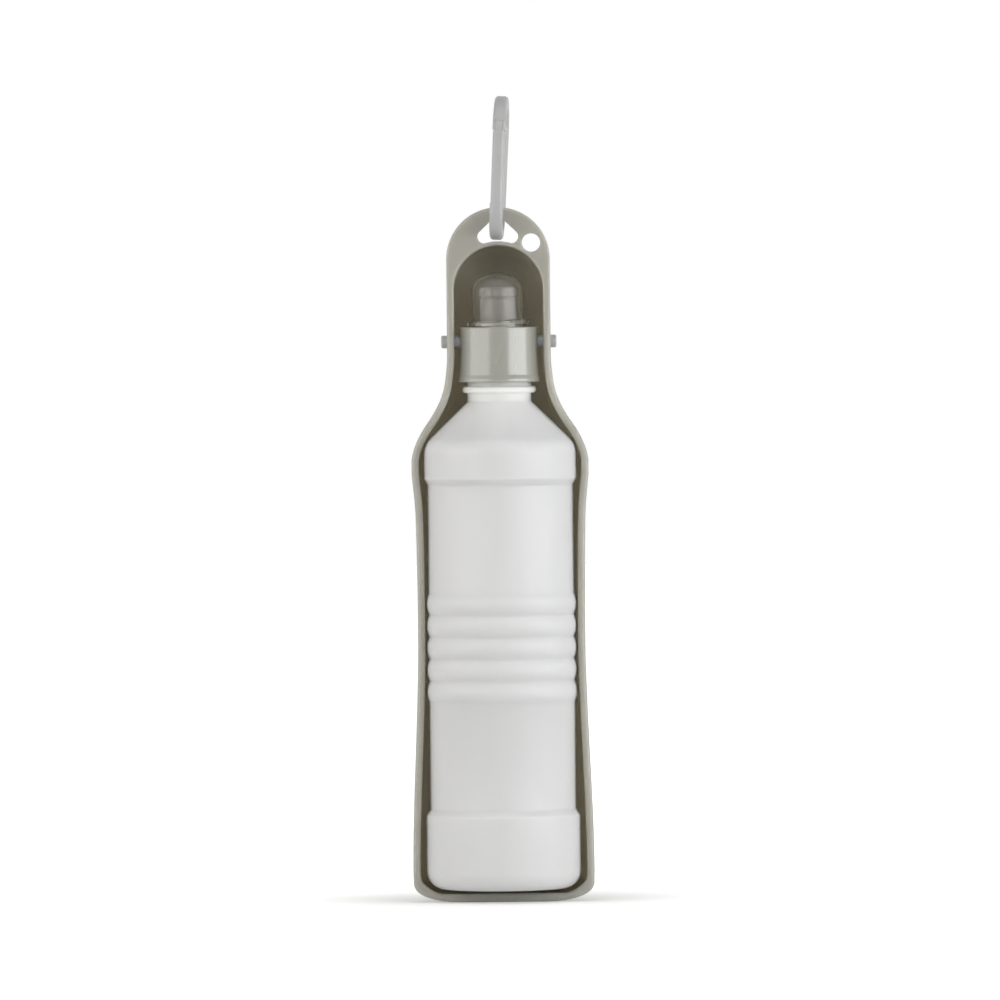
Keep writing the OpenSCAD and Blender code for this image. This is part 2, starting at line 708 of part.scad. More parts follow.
// The gate's bar seen from the side: its top slopes down to the inside, clear of the cheeks when open
module gate_bar() {
    under = knuckle_r + 2 * gate_gap;
    fall = (under + clip_bar * sin(gate_open) / 2) / cos(gate_open) - under;
    steep = fall / clip_bar;
    outside = gate_pin_y - clip_bar / 2;
    low = gate_low + gate_gap;
    intersection() {
        clip_ring();
        polygon([[-clip_far_r - over, low], [0, low], [0, gate_pin_z - under + steep * outside],
                 [outside, gate_pin_z - under], [-clip_far_r - over, gate_pin_z - under]]);
    }
}

module clip_gate() {
    tongue_z = gate_pin_z - 2 * knuckle_r - 2 * over;
    color(clip_colour)
    clip_frame()
    difference() {
        union() {
            across(gate_t) gate_bar();
            // Lip behind the nose
            across(gate_t)
            intersection() {
                clip_ring();
                translate([-clip_r + clip_bar / 2 + gate_gap, gate_low - gate_lip])
                square([clip_bar, gate_lip + 2 * over]);
            }
            // Knuckle and the tongue that carries it
            translate([-knuckle_w / 2, gate_pin_y, gate_pin_z])
            rotate([0, 90, 0])
            cylinder(r = knuckle_r, h = knuckle_w);
            translate([-knuckle_w / 2, gate_pin_y - tongue_t / 2, tongue_z])
            cube([knuckle_w, tongue_t, gate_pin_z - tongue_z]);
        }
        translate([-clip_t, gate_pin_y, gate_pin_z])
        rotate([0, 90, 0])
        cylinder(r = gate_pin_r + gate_pin_gap, h = 2 * clip_t);
        // Room for the spring's coil and its lower leg
        translate([-coil_x - wire_d, gate_pin_y, gate_pin_z])
        rotate([0, 90, 0])
        cylinder(r = coil_r + wire_d, h = 2 * coil_x + 2 * wire_d);
        translate([-coil_x - wire_d, gate_pin_y + coil_r - wire_d, gate_pin_z - spring_leg - wire_d])
        cube([2 * wire_d, clip_bar, spring_leg + wire_d]);
        // Room for its upper leg as the knuckle turns
        translate([coil_x - wire_d, gate_pin_y + coil_r - wire_d, gate_pin_z])
        cube([2 * wire_d, clip_bar, knuckle_r + over]);
    }
}

module gate_pin() {
    color(steel_colour)
    clip_frame()
    translate([gate_pin_in - clip_t / 2, gate_pin_y, gate_pin_z])
    rotate([0, 90, 0])
    cylinder(r = gate_pin_r, h = clip_t - 2 * gate_pin_in);
}

// Torsion spring: a short coil round the pin with a leg up into the clip and a leg down the gate
module gate_spring() {
    steps = 12;
    n = coil_turns * steps;
    centres = concat(
        [[-coil_x, coil_r, -spring_leg]],
        [for (i = [0:n]) let (a = 360 * i / steps, x = coil_x * (2 * i / n - 1))
            [x, coil_r * cos(a), coil_r * sin(a)]],
        [[coil_x, coil_r, spring_leg]]);
    color(steel_colour)
    clip_frame()
    translate([0, gate_pin_y, gate_pin_z])
    wire(centres, wire_d / 2);
}

// Round wire along a list of points
module wire(path, r) {
    last = len(path) - 1;
    function along(i) = path[min(i + 1, last)] - path[max(i - 1, 0)];
    rings = [for (i = [0:last])
        let (d = along(i) / norm(along(i)), s = [1, 0, 0] - d[0] * d, u = s / norm(s), v = cross(d, u))
        [for (k = [0:5]) path[i] + r * (cos(60 * k) * u - sin(60 * k) * v)]];
    loft(rings);
}

tray();
bottle();
cap();
cap_seal();
spout();
dust_cover();
clip_body();
clip_gate();
gate_pin();
gate_spring();
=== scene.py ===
# Travel water bottle for a dog: a squeeze bottle hung in a folding drinking trough, with a clip on its tab.
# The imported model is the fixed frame. Each section makes one piece over it, in the order in which the real
# one is put together. Sizes are in millimetres, in the frame's own axes, until a mesh is finished.
import math

import bmesh
import bpy
from mathutils import Matrix, Vector


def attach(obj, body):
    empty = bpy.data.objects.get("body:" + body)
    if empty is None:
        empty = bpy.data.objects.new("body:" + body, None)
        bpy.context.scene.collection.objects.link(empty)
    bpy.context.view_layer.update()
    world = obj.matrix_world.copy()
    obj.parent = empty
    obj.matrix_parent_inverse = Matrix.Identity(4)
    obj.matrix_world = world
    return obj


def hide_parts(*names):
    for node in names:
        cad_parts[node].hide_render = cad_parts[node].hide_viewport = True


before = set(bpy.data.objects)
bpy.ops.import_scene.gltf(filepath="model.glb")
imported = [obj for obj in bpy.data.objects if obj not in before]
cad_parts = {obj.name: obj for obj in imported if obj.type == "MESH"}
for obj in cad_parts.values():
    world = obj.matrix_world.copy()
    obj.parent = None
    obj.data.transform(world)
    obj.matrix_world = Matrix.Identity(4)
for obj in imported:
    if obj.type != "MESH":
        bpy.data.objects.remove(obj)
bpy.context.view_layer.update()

# ---- Bottle -----------------------------------------------------------------------------------------
# Blow-moulded squeeze bottle in milky, see-through plastic, with a banded base, five grip ribs and a
# shoulder band. The mould leaves a fine parting line down both sides. It screws up into the cap.
bottle_base = 5.0
body_r, base_r, shoulder_r, neck_r = 28.4, 30.1, 29.85, 12.35
wall, neck_wall = 1.0, 1.45
push_up, push_up_r, standing_r, base_edge = 2.2, 17.9, 20.1, 7
low_band_top, shoulder_low, shoulder_top, band_step = 28.7, 157.7, 173.4, 2.4
rib_out, rib_pitch, rib_count, rib_low = 1.1, 8.55, 5, 72.825
rib_shares = (0.04, 0.11, 0.21, 0.34, 0.5, 0.66, 0.79, 0.89, 0.96)
cone_top, mouth = 190.0, 216.015
ring_r, ring_low, ring_high, ring_draft = 14.3, 193.5, 196.1, 0.1
thread_low, thread_pitch, thread_out, thread_root = 209.015, 3.2, 1.2, 0.3
thread_foot_half, thread_crest_half = 0.75, 0.35
parting_line = 0.09


def placed(tree, kind, inputs=None, **settings):
    """A node in a tree. Its inputs are given by name or number, each as a value or as a socket to join."""
    node = tree.nodes.new(kind)
    for name, value in settings.items():
        setattr(node, name, value)
    for name, value in (inputs or {}).items():
        if isinstance(value, bpy.types.NodeSocket):
            tree.links.new(value, node.inputs[name])
        else:
            node.inputs[name].default_value = value
    return node


def effect(name, numbers_in, numbers_out):
    """An empty shader node group with named number inputs, each with its usual value, and number outputs."""
    group = bpy.data.node_groups.new(name, "ShaderNodeTree")
    for label, value in numbers_in:
        group.interface.new_socket(label, in_out="INPUT", socket_type="NodeSocketFloat").default_value = value
    for label in numbers_out:
        group.interface.new_socket(label, in_out="OUTPUT", socket_type="NodeSocketFloat")
    return group, placed(group, "NodeGroupInput"), placed(group, "NodeGroupOutput")


# Moulded skin: a fine orange-peel grain, and slow clouds where the plastic flowed and cooled unevenly
moulded_skin, skin_in, skin_out = effect("moulded skin", [("Grain scale", 1800), ("Flow scale", 18)],
                                         ["Grain", "Flow"])
place = placed(moulded_skin, "ShaderNodeTexCoord").outputs["Object"]
grain = placed(moulded_skin, "ShaderNodeTexNoise",
               {"Vector": place, "Scale": skin_in.outputs["Grain scale"], "Detail": 3.0, "Roughness": 0.55})
stretched = placed(moulded_skin, "ShaderNodeMapping", {"Vector": place, "Scale": (1.0, 1.0, 0.35)})
flow = placed(moulded_skin, "ShaderNodeTexNoise",
              {"Vector": stretched.outputs["Vector"], "Scale": skin_in.outputs["Flow scale"], "Detail": 5.0,
               "Roughness": 0.6, "Distortion": 0.8})
moulded_skin.links.new(grain.outputs["Fac"], skin_out.inputs["Grain"])
moulded_skin.links.new(flow.outputs["Fac"], skin_out.inputs["Flow"])

# Handling marks: edges that hands have polished, and short fine scratches from a bag
handling, marks_in, marks_out = effect("handling marks", [("Edge", 0.53), ("Scratch scale", 40)],
                                       ["Polish", "Scratches"])
place = placed(handling, "ShaderNodeTexCoord").outputs["Object"]
point = placed(handling, "ShaderNodeNewGeometry").outputs["Pointiness"]
edge = placed(handling, "ShaderNodeMapRange",
              {"Value": point, "From Min": marks_in.outputs["Edge"], "From Max": 0.62})
patch = placed(handling, "ShaderNodeTexNoise", {"Vector": place, "Scale": 130.0, "Detail": 4.0})
polish = placed(handling, "ShaderNodeMath", {0: edge.outputs["Result"], 1: patch.outputs["Fac"]},
                operation="MULTIPLY")
handling.links.new(polish.outputs["Value"], marks_out.inputs["Polish"])
turned_place = placed(handling, "ShaderNodeMapping",
                      {"Vector": place, "Rotation": (0.5, 0.3, 0.7), "Scale": (1.0, 14.0, 1.0)})
lines = placed(handling, "ShaderNodeTexVoronoi",
               {"Vector": turned_place.outputs["Vector"], "Scale": marks_in.outputs["Scratch scale"]},
               feature="DISTANCE_TO_EDGE")
thin = placed(handling, "ShaderNodeMapRange",
              {"Value": lines.outputs["Distance"], "From Max": 0.012, "To Min": 1.0, "To Max": 0.0})
rare = placed(handling, "ShaderNodeTexNoise", {"Vector": place, "Scale": 55.0})
here_only = placed(handling, "ShaderNodeMapRange",
                   {"Value": rare.outputs["Fac"], "From Min": 0.56, "From Max": 0.66})
short = placed(handling, "ShaderNodeMath", {0: thin.outputs["Result"], 1: here_only.outputs["Result"]},
               operation="MULTIPLY")
handling.links.new(short.outputs["Value"], marks_out.inputs["Scratches"])


def moulded_plastic(name, colour, cloud_colour, worn_colour, roughness, grain_scale=1800, grain_depth=0.00002):
    """A moulded plastic: clouds in its colour and gloss, grain and scratches in its bump, polished edges."""
    finish = bpy.data.materials.new(name)
    finish.use_nodes = True
    tree = finish.node_tree
    shader = tree.nodes["Principled BSDF"]
    skin = placed(tree, "ShaderNodeGroup", node_tree=moulded_skin)
    skin.inputs["Grain scale"].default_value = grain_scale
    marks = placed(tree, "ShaderNodeGroup", node_tree=handling)
    clouds = placed(tree, "ShaderNodeMapRange",
                    {"Value": skin.outputs["Flow"], "From Min": 0.3, "From Max": 0.7})
    base = placed(tree, "ShaderNodeMix", {0: clouds.outputs["Result"], 6: (*colour, 1), 7: (*cloud_colour, 1)},
                  data_type="RGBA")
    worn = placed(tree, "ShaderNodeMix", {0: marks.outputs["Polish"], 6: base.outputs[2], 7: (*worn_colour, 1)},
                  data_type="RGBA")
    tree.links.new(worn.outputs[2], shader.inputs["Base Color"])
    gloss = placed(tree, "ShaderNodeMapRange",
                   {"Value": skin.outputs["Flow"], "From Min": 0.25, "From Max": 0.75,
                    "To Min": roughness - 0.05, "To Max": roughness + 0.05})
    scuffed = placed(tree, "ShaderNodeMath",
                     {0: marks.outputs["Scratches"], 1: 0.1, 2: gloss.outputs["Result"]},
                     operation="MULTIPLY_ADD")
    tree.links.new(scuffed.outputs["Value"], shader.inputs["Roughness"])
    relief = placed(tree, "ShaderNodeMath", {0: marks.outputs["Scratches"], 1: -0.5, 2: skin.outputs["Grain"]},
                    operation="MULTIPLY_ADD")
    bump = placed(tree, "ShaderNodeBump",
                  {"Height": relief.outputs["Value"], "Strength": 0.35, "Distance": grain_depth})
    tree.links.new(bump.outputs["Normal"], shader.inputs["Normal"])
    return finish, shader


def let_light_in(shader, weight, depth, tint):
    """Lets light a little way into a plastic, in metres, so that a thin wall glows when lit from behind."""
    shader.inputs["Subsurface Weight"].default_value = weight
    shader.inputs["Subsurface Scale"].default_value = depth
    shader.inputs["Subsurface Radius"].default_value = tint


def eased(corners, steps=6):
    """The closed line through (radius, height, rounding) corners, with an arc at each rounded corner."""
    line = []
    for i, (r, z, rounding) in enumerate(corners):
        here = Vector((r, z))
        if not rounding:
            line.append(tuple(here))
            continue
        back = Vector(corners[i - 1][:2]) - here
        on = Vector(corners[(i + 1) % len(corners)][:2]) - here
        half = back.angle(on) / 2
        reach = min(rounding / math.tan(half), 0.75 * back.length, 0.75 * on.length)
        centre = here + (back.normalized() + on.normalized()).normalized() * reach / math.cos(half)
        start = here + back.normalized() * reach - centre
        end = here + on.normalized() * reach - centre
        sweep = math.pi - 2 * half
        for t in (k / steps for k in range(steps + 1)):
            spoke = (start * math.sin(sweep * (1 - t)) + end * math.sin(sweep * t)) / math.sin(sweep)
            line.append(tuple(centre + spoke))
    return line


def turned(mesh, line, where=Matrix(), sides=144, seam=0.0):
    """Turns a closed line of (radius, height) round an axis. A seam stands out a little at both sides."""
    rings = []
    for r, z in line:
        if r < 0.001:
            rings.append([mesh.verts.new(where @ Vector((0, 0, z)))])
            continue
        spokes = [(2 * math.pi * i / sides, r + (seam if i % (sides // 2) == 0 else 0)) for i in range(sides)]
        rings.append([mesh.verts.new(where @ Vector((out * math.cos(a), out * math.sin(a), z)))
                      for a, out in spokes])
    for low, high in zip(rings, rings[1:] + rings[:1]):
        if len(low) + len(high) == 2:
            continue
        for i in range(sides):
            j = (i + 1) % sides
            corners = [low[i % len(low)], low[j % len(low)], high[j % len(high)], high[i % len(high)]]
            mesh.faces.new(list(dict.fromkeys(corners)))


def skinned(mesh, rings, closed=False):
    """Joins rings that all have as many points into one skin, closed on itself or with flat ends."""
    loops = [[mesh.verts.new(p) for p in ring] for ring in rings]
    for low, high in zip(loops, loops[1:] + (loops[:1] if closed else [])):
        for i in range(len(low)):
            j = (i + 1) % len(low)
            mesh.faces.new([low[i], low[j], high[j], high[i]])
    if not closed:
        mesh.faces.new(loops[0][::-1])
        mesh.faces.new(loops[-1])


def screw_ridge(mesh, foot_r, crest_r, z, turns=1.25, steps=48):
    """One ridge of the screw thread, winding up round the Z axis and running out at both of its ends."""
    count, run_out = int(turns * steps), 6
    rings = []
    for i in range(count + 1):
        a = 2 * math.pi * i / steps
        up = z + thread_pitch * i / steps
        share = min(1, max(0.05, min(i, count - i) / run_out))
        crest = foot_r + (crest_r - foot_r) * share
        rings.append([(r * math.cos(a), r * math.sin(a), up + h) for r, h in
                      [(foot_r, -thread_foot_half), (crest, -thread_crest_half),
                       (crest, thread_crest_half), (foot_r, thread_foot_half)]])
    skinned(mesh, rings)


def made(name, mesh, finish, crease=35):
    """Turns a built mesh into a piece in metres."""
    bmesh.ops.scale(mesh, vec=(0.001,) * 3, verts=mesh.verts)
    bmesh.ops.recalc_face_normals(mesh, faces=mesh.faces)
    data = bpy.data.meshes.new(name)
    mesh.to_mesh(data)
    mesh.free()
    data.materials.append(finish)
    piece = bpy.data.objects.new(name, data)
    bpy.context.scene.collection.objects.link(piece)
    smoothed(piece, crease)
    return piece


def smoothed(piece, crease):
    """Shades a piece smooth but for the edges that are sharper than the crease, in degrees."""
    piece.data.shade_smooth()
    piece.data.set_sharp_from_angle(angle=math.radians(crease))


def bottle_line(inset):
    """The bottle's line from the middle of its base up to the shoulder's top edge, an inset further in."""
    ribs = [(body_r - inset + rib_out * 4 * share * (1 - share), rib_low + rib_pitch * (i + share), 0)
            for i in range(rib_count) for share in rib_shares]
    return [(0, push_up + inset, 0), (push_up_r, push_up + inset, 1.2), (standing_r, inset, 0.9),
            (base_r - inset, inset, base_edge - inset), (base_r - inset, low_band_top, 2),
            (body_r - inset, low_band_top + band_step, 2), *ribs,
            (body_r - inset, shoulder_low, 2), (shoulder_r - inset, shoulder_low + band_step, 2),
            (shoulder_r - inset, shoulder_top, 8)]


milky_plastic, milky = moulded_plastic(
    "milky squeeze plastic", (0.90, 0.905, 0.865), (0.92, 0.925, 0.89), (0.94, 0.94, 0.91), 0.45,
    grain_scale=700, grain_depth=0.00003)
let_light_in(milky, 1.0, 0.003, (1.0, 1.0, 0.95))

mesh = bmesh.new()
outside = [*bottle_line(0), (neck_r, cone_top, 1.2), (neck_r, ring_low - ring_draft, 0.3),
           (ring_r, ring_low, 1.1), (ring_r, ring_high - ring_draft, 1.1), (neck_r, ring_high, 0.3),
           (neck_r, mouth, 0.5)]
inside = [*bottle_line(wall), (neck_r - neck_wall, cone_top - 0.4, 1.2), (neck_r - neck_wall, mouth, 0.5)]
upright = Matrix.Translation((0, 0, bottle_base))
turned(mesh, eased(outside + inside[::-1]), upright, seam=parting_line)
screw_ridge(mesh, neck_r - thread_root, neck_r + thread_out, thread_low + bottle_base)
bottle = made("bottle_body", mesh, milky_plastic, 60)
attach(bottle, "bottle")
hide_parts("bottle")

# ---- Screw cap and pivot pins -----------------------------------------------------------------------
# Injection-moulded cap in the trough's warm grey, but glossier. A tube on its top carries the spout, round
# a stopper on three webs, inside a low ring that seats the cover. Two light grey nylon pins are its pivot.
cap_base, cap_r, cap_h, cap_lip_r, cap_lip_h = 202.615, 15.35, 21.5, 16.1, 1.3
cap_foot_r, cap_foot_h, cap_waist_h = 15.7, 2.8, 12
cap_bore, cap_inner_top = 13.95, 19.7
seat_out, seat_in, seat_top = 8.85, 7.75, 23.0
tube_out, tube_in, tube_top = 5.6, 4.3, 33.1
stopper_r, stopper_low, stopper_top = 1.6, 29.7, 36.3
web_t, web_h, web_turns = 1.2, 3.0, (30, 150, 270)
pivot_z, pin_r, pin_root, pin_tip, dimple_r, dimple_deep = 218.415, 2.5, 14.4, 22.5, 1.1, 0.4

cap_plastic, cap_shader = moulded_plastic(
    "glossy warm grey plastic", (0.30, 0.30, 0.26), (0.33, 0.33, 0.29), (0.41, 0.41, 0.365), 0.3)
let_light_in(cap_shader, 0.2, 0.001, (1.0, 0.9, 0.7))
cap_shader.inputs["Coat Weight"].default_value = 0.9
cap_shader.inputs["Coat Roughness"].default_value = 0.2

mesh = bmesh.new()
upright = Matrix.Translation((0, 0, cap_base))
turned(mesh, eased([
    (cap_bore, 0, 0.25), (cap_lip_r, 0, 0.35), (cap_lip_r, cap_lip_h, 0.5), (cap_foot_r, cap_foot_h, 1.5),
    (cap_r, cap_waist_h, 0), (cap_r, cap_h, 0.6), (seat_out, cap_h, 0.2), (seat_out, seat_top, 0.3),
    (seat_in, seat_top, 0.3), (seat_in, cap_h, 0.2), (tube_out, cap_h, 0.2), (tube_out, tube_top, 0.5),
    (tube_in, tube_top, 0.3), (tube_in, cap_inner_top, 0.3), (cap_bore, cap_inner_top, 0.8)]), upright)
turned(mesh, eased([(0, stopper_low, 0), (stopper_r, stopper_low, 0.2), (stopper_r, stopper_top, 0.4),
                    (0, stopper_top, 0)]), upright, sides=48)
for turn in web_turns:
    half = web_t / 2
    across = Matrix.Rotation(math.radians(turn), 4, "Z") @ Matrix.Translation((0, 0, cap_base + stopper_low))
    skinned(mesh, [[across @ Vector((r, side * half * s, up)) for side, up, s in
                    [(-1, 0, 1), (1, 0, 1), (1, web_h - 0.3, 1), (1, web_h, 0.6), (-1, web_h, 0.6),
                     (-1, web_h - 0.3, 1)]] for r in (stopper_r - 0.6, tube_in + 0.2)])
screw_ridge(mesh, cap_bore + thread_root, neck_r + thread_root, thread_low + bottle_base - thread_pitch / 2)
cap = made("screw_cap", mesh, cap_plastic)
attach(cap, "cap")
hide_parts("cap")

grey_nylon, nylon_shader = moulded_plastic(
    "light grey nylon", (0.42, 0.42, 0.42), (0.45, 0.45, 0.45), (0.55, 0.55, 0.55), 0.36, grain_depth=0.00003)
let_light_in(nylon_shader, 0.3, 0.0015, (1.0, 0.97, 0.93))


def sideways(side, z):
    """Lays what is turned round Z along X, to the left (-1) or right (1), at a height."""
    return Matrix.Translation((0, 0, z)) @ Matrix.Rotation(math.radians(90 * side), 4, "Y")


mesh = bmesh.new()
for side in (-1, 1):
    turned(mesh, eased([(0, pin_root, 0), (pin_r, pin_root, 0), (pin_r, pin_tip, 0.7), (dimple_r, pin_tip, 0.2),
                        (dimple_r, pin_tip - dimple_deep, 0.1), (0, pin_tip - dimple_deep, 0)]),
           sideways(side, pivot_z), sides=64)
pins = made("pivot_pins", mesh, grey_nylon)
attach(pins, "cap")

# ---- Sealing washer ---------------------------------------------------------------------------------
# Soft white foam washer pressed up inside the cap, against which the bottle's mouth closes. It is plain
# and turned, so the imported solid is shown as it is, with a foam finish of fine open cells.
foam = bpy.data.materials.new("white foam")
foam.use_nodes = True
foam_shader = foam.node_tree.nodes["Principled BSDF"]
place = placed(foam.node_tree, "ShaderNodeTexCoord").outputs["Object"]
cells = placed(foam.node_tree, "ShaderNodeTexVoronoi", {"Vector": place, "Scale": 2600.0})
# The hollow of each cell is painted darker than the walls between, as painted shade, and the bump sinks it
# there.
pore_shade_tone = placed(foam.node_tree, "ShaderNodeMix",
              {0: cells.outputs["Distance"], 6: (0.60, 0.60, 0.57, 1), 7: (0.80, 0.80, 0.77, 1)},
              data_type="RGBA")
rough = placed(foam.node_tree, "ShaderNodeMapRange",
               {"Value": cells.outputs["Distance"], "To Min": 0.9, "To Max": 0.75})
pores = placed(foam.node_tree, "ShaderNodeBump",
               {"Height": cells.outputs["Distance"], "Strength": 0.5, "Distance": 0.0001})
foam.node_tree.links.new(pore_shade_tone.outputs[2], foam_shader.inputs["Base Color"])
foam.node_tree.links.new(rough.outputs["Result"], foam_shader.inputs["Roughness"])
foam.node_tree.links.new(pores.outputs["Normal"], foam_shader.inputs["Normal"])


def refinish(node, finish):
    """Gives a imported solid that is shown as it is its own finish."""
    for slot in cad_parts[node].material_slots:
        slot.material = finish


refinish("cap_seal", foam)

# ---- Spout ------------------------------------------------------------------------------------------
# Push-pull spout in smoky see-through plastic. It slides on the cap's tube; its collar is what fingers or
# teeth pull on, and the hole in its top closes on the cap's stopper.
cap_top = cap_base + cap_h
spout_low, collar_low, spout_top, groove_low, groove_high = 2.4, 12.0, 15.4, 10.7, 11.6
skirt_r, groove_r, collar_r, tip_r, slide_r, roof_r, outlet_r = 7.2, 6.7, 7.4, 6.4, 5.7, 5.3, 1.7
roof_t, roof_root = 2.4, 2.8

smoky_plastic, smoky = moulded_plastic(
    "smoky spout plastic", (0.15, 0.143, 0.132), (0.18, 0.172, 0.16), (0.25, 0.24, 0.225), 0.5,
    grain_scale=1400)
let_light_in(smoky, 0.5, 0.002, (1.0, 0.95, 0.85))

mesh = bmesh.new()
turned(mesh, eased([
    (slide_r, spout_low, 0.2), (skirt_r, spout_low, 0.3), (skirt_r, groove_low, 0.3),
    (groove_r, groove_low + 0.4, 0.3), (groove_r, groove_high, 0.2), (collar_r, collar_low, 0.3),
    (collar_r, spout_top - 1.2, 0.6), (tip_r, spout_top, 0.6), (outlet_r, spout_top, 0.3),
    (outlet_r, spout_top - roof_t, 0.2), (roof_r, spout_top - roof_t, 0.3),
    (slide_r, spout_top - roof_root, 0.2)]), Matrix.Translation((0, 0, cap_top)), sides=112)
spout = made("spout_sleeve", mesh, smoky_plastic)
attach(spout, "spout")
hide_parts("spout")

# ---- Dust cover -------------------------------------------------------------------------------------
# Domed cover in clear plastic that handling has dulled, with a flange, pushed over the seat ring on the
# cap. One side of the flange isn't pressed home, so the cover leans to the left.
cover_r, cover_in, dome_low, dome_h, flange_r, flange_t, cover_lean = 9.95, 8.95, 14.1, 6.8, 12.4, 1.9, 2.4

clear_plastic = bpy.data.materials.new("clear cover plastic")
clear_plastic.use_nodes = True
clear_tree = clear_plastic.node_tree
clear = clear_tree.nodes["Principled BSDF"]
clear.inputs["Transmission Weight"].default_value = 0.97
clear.inputs["IOR"].default_value = 1.3
skin = placed(clear_tree, "ShaderNodeGroup", node_tree=moulded_skin)
skin.inputs["Grain scale"].default_value = 900
skin.inputs["Flow scale"].default_value = 60
tint = placed(clear_tree, "ShaderNodeMix",
              {0: skin.outputs["Flow"], 6: (0.86, 0.85, 0.81, 1), 7: (0.94, 0.93, 0.90, 1)}, data_type="RGBA")
clear_tree.links.new(tint.outputs[2], clear.inputs["Base Color"])
haze = placed(clear_tree, "ShaderNodeMapRange", {"Value": skin.outputs["Flow"], "To Min": 0.1, "To Max": 0.22})
clear_tree.links.new(haze.outputs["Result"], clear.inputs["Roughness"])
ripple = placed(clear_tree, "ShaderNodeBump",
                {"Height": skin.outputs["Flow"], "Strength": 0.15, "Distance": 0.0002})
clear_tree.links.new(ripple.outputs["Normal"], clear.inputs["Normal"])

cover_wall = cover_r - cover_in
dome = [(cover_r * math.cos(math.radians(a)), dome_low + dome_h * math.sin(math.radians(a)))
        for a in range(0, 90, 5)] + [(0, dome_low + dome_h)]
hollow = [(cover_in * math.cos(math.radians(a)), dome_low + (dome_h - cover_wall) * math.sin(math.radians(a)))
          for a in range(85, -1, -5)]
flange = eased([(cover_in, 0, 0.2), (flange_r, 0, 0.4), (flange_r, flange_t, 0.5), (cover_r, flange_t, 0.5),
                (cover_r, dome_low - 4, 0)])
mesh = bmesh.new()
turned(mesh, flange + dome + [(0, dome_low + dome_h - cover_wall)] + hollow,
       Matrix.Translation((-flange_r, 0, cap_top)) @ Matrix.Rotation(math.radians(-cover_lean), 4, "Y")
       @ Matrix.Translation((flange_r, 0, 0)), sides=128)
cover = made("dust_cover_dome", mesh, clear_plastic)
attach(cover, "dust_cover")
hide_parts("dust_cover")

# ---- Trough -----------------------------------------------------------------------------------------
# Folding drinking trough, one injection moulding in warm grey plastic: a leaf-shaped shell with a rounded
# back, a rounded rim, an end wall with a low lip that it stands on, and a tab with a slot and a round hole.
front = -7.0
rim_w, rim_t, shell_t, foot_t = 2.9, 2.2, 1.5, 2.4
rim_rounds, foot_rounds = (1.5, 1.35), (0.9, 0.6)
base_half, shoulder_half, shoulder_z, pocket_r, floor_y = 32.5, 31.7, 170.0, 17.3, 31.0
corner_in, floor_round, end_round = 9.0, 7.0, 12.0
pocket_z, end_z, tab_r, tab_z = 238.515, 255.815, 20.2, 250.515
foot_flat, foot_sweep, foot_rise, shell_sweep_top, rim_sweep_top = 14.0, 8.4, 2.2, 9.5, 8.2
lip_back, lip_h, lip_rise, lip_flat = -4.8, 3.4, 0.06, 23
lanyard_x, lanyard_z, lanyard_r, pin_hole_r, edge_round = 12.941, 256.86, 3.55, 2.6, 0.3
boss_r, boss_bore, boss_root, boss_face = 5.0, 2.0, 18.0, 19.9
# The trough's inside as (height, half width): long and nearly straight, then drawn in to the pocket
side_knots = [(foot_t + corner_in, base_half), (77.825, 30.3), (94.925, 29.8), (120.575, 29.8), (152.7, 30.3),
              (shoulder_z, shoulder_half)]
side_knots += [(shoulder_z + up, pocket_r + (shoulder_half - pocket_r) * share) for up, share in
               [(6, 0.93), (12, 0.735), (18, 0.46), (24, 0.235), (30, 0.097), (38, 0.02)]]
side_knots += [(pivot_z - 5, pocket_r)]

trough_plastic, grey_shader = moulded_plastic(
    "warm grey moulded plastic", (0.36, 0.355, 0.32), (0.39, 0.385, 0.345), (0.46, 0.455, 0.415), 0.32)
let_light_in(grey_shader, 0.95, 0.0068, (1.0, 0.93, 0.82))


def side_at(z):
    """Half the width of the trough's inside at a height, on a smooth curve through the knots."""
    knots = side_knots
    if z <= knots[0][0] or z >= knots[-1][0]:
        return knots[0][1] if z <= knots[0][0] else knots[-1][1]
    i = max(k for k in range(len(knots) - 1) if knots[k][0] <= z)

    def slope(k):
        if k in (0, len(knots) - 1):
            return 0
        return (knots[k + 1][1] - knots[k - 1][1]) / (knots[k + 1][0] - knots[k - 1][0])

    h = knots[i + 1][0] - knots[i][0]
    u = (z - knots[i][0]) / h
    return (knots[i][1] * (2 * u ** 3 - 3 * u * u + 1) + slope(i) * h * (u ** 3 - 2 * u * u + u)
            + knots[i + 1][1] * (3 * u * u - 2 * u ** 3) + slope(i + 1) * h * (u ** 3 - u * u))


def drawn_in(left, r):
    """How far a corner's rounding draws a wall in, at a distance from the corner's end."""
    return 0 if left >= r else r - math.sqrt(max(0, r * r - (r - left) ** 2))


def depth_at(z, grow):
    """How far back the trough's floor lies at a height, rounded into both of its ends."""
    low = foot_t if grow else 0
    return (floor_y + grow - drawn_in(z - foot_t + low, floor_round + low)
            - drawn_in(end_z + grow - z, end_round + grow))


def round_end(half, up):
    """Half of the standing end's outer edge: flat, then one easy curve up to a half width and height."""
    points = [(foot_flat * k / 4, 0) for k in range(5)]
    knots = [(foot_flat, 0), (half - foot_sweep, 0), (half, foot_rise), (half, up)]
    for k in range(1, 14):
        t = k / 14
        shares = [(1 - t) ** 3, 3 * t * (1 - t) ** 2, 3 * t * t * (1 - t), t ** 3]
        points.append(tuple(sum(s * knot[axis] for s, knot in zip(shares, knots)) for axis in (0, 1)))
    return points


def opening_end():
    """Half of the opening's edge at the standing end, with as many points."""
    flat = base_half - corner_in
    points = [(foot_flat * k / 4, foot_t) for k in range(5)]
    points += [(foot_flat + (flat - foot_flat) * k / 4, foot_t) for k in range(1, 5)]
    return points + [(flat + corner_in * math.sin(math.radians(a)),
                      foot_t + corner_in * (1 - math.cos(math.radians(a)))) for a in range(9, 85, 9)]


